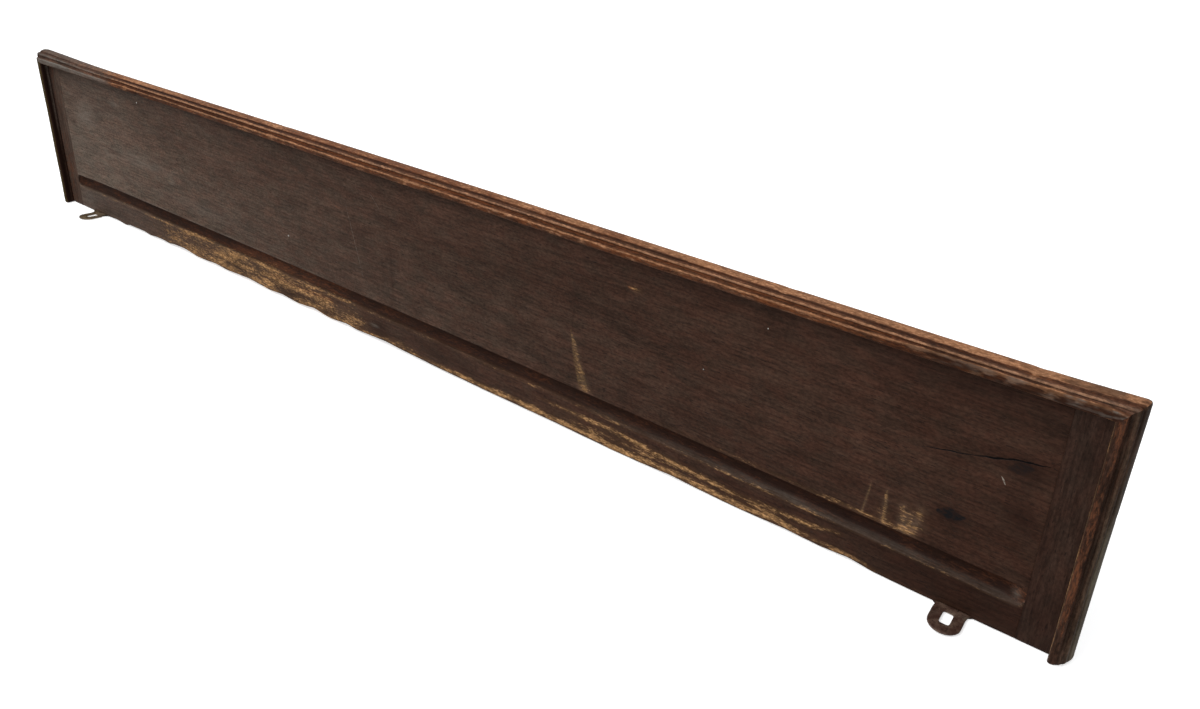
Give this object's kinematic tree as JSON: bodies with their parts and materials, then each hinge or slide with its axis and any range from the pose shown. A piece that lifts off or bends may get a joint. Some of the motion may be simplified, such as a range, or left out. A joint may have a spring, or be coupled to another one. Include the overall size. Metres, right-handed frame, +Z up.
{
  "type": "coat rack with shelf",
  "caption": "Long wooden wall shelf with moulded edge and plate groove, on shaped brackets over a back board with metal coat hooks, hung by slotted wall plates.",
  "frame": {"origin": "on the wall plane, midway between the centres of the two wall hangers' slots", "axes": "+X to the right for a person facing the rack, +Y into the wall, +Z up"},
  "size_m": [1.2, 0.1765, 0.1986],
  "materials": {
    "dark_oak": "old waxed dark stain, worn on the edges",
    "dowel_wood": "bare",
    "dark_cast_iron": "dark brown patina",
    "rusty_steel": "red-brown rust patina",
    "screw_steel": "dull, aged"
  },
  "bodies": {
    "root": {"shelf_board": "dark_oak", "left_end_cleat": "dark_oak", "right_end_cleat": "dark_oak", "front_moulding": "dark_oak", "left_end_moulding": "dark_oak", "right_end_moulding": "dark_oak", "back_board": "dark_oak", "left_bracket": "dark_oak", "middle_bracket": "dark_oak", "right_bracket": "dark_oak", "left_cove_strip": "dark_oak", "right_cove_strip": "dark_oak", "hook_1": "dark_cast_iron", "hook_2": "dark_cast_iron", "hook_3": "dark_cast_iron", "hook_4": "dark_cast_iron", "hook_5": "dark_cast_iron", "hook_6": "dark_cast_iron", "left_wall_hanger": "rusty_steel", "right_wall_hanger": "rusty_steel", "hook_screws": "screw_steel", "hanger_screws": "screw_steel", "bracket_screws": "screw_steel", "moulding_brads": "screw_steel", "shelf_dowels": "dowel_wood", "bracket_dowels": "dowel_wood"}
  },
  "joints": []
}
